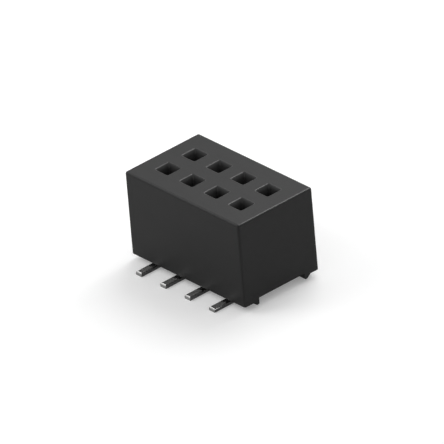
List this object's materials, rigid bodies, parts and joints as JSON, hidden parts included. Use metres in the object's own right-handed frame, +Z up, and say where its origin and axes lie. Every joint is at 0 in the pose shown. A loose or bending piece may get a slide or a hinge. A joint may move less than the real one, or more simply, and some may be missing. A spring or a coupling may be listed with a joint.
{
  "type": "board to board connector",
  "caption": "Two-row surface-mount socket header for a board to board connection: a black moulded body with square pin sockets, on flat solder tails.",
  "frame": {"origin": "centre of the part on the board, in the plane of the undersides of the solder tails", "axes": "+X along the two rows, +Y across them towards the rear row, +Z up from the board towards the mating face"},
  "size_m": [0.006, 0.0048, 0.0036],
  "materials": {
    "black_moulding": "moulded black liquid crystal polymer, fine satin texture",
    "plated_contact": "phosphor bronze strip, tin plated, smooth satin"
  },
  "bodies": {
    "root": {"housing": "black_moulding", "contact_front_1": "plated_contact", "contact_front_2": "plated_contact", "contact_front_3": "plated_contact", "contact_front_4": "plated_contact", "contact_rear_1": "plated_contact", "contact_rear_2": "plated_contact", "contact_rear_3": "plated_contact", "contact_rear_4": "plated_contact"}
  },
  "joints": []
}
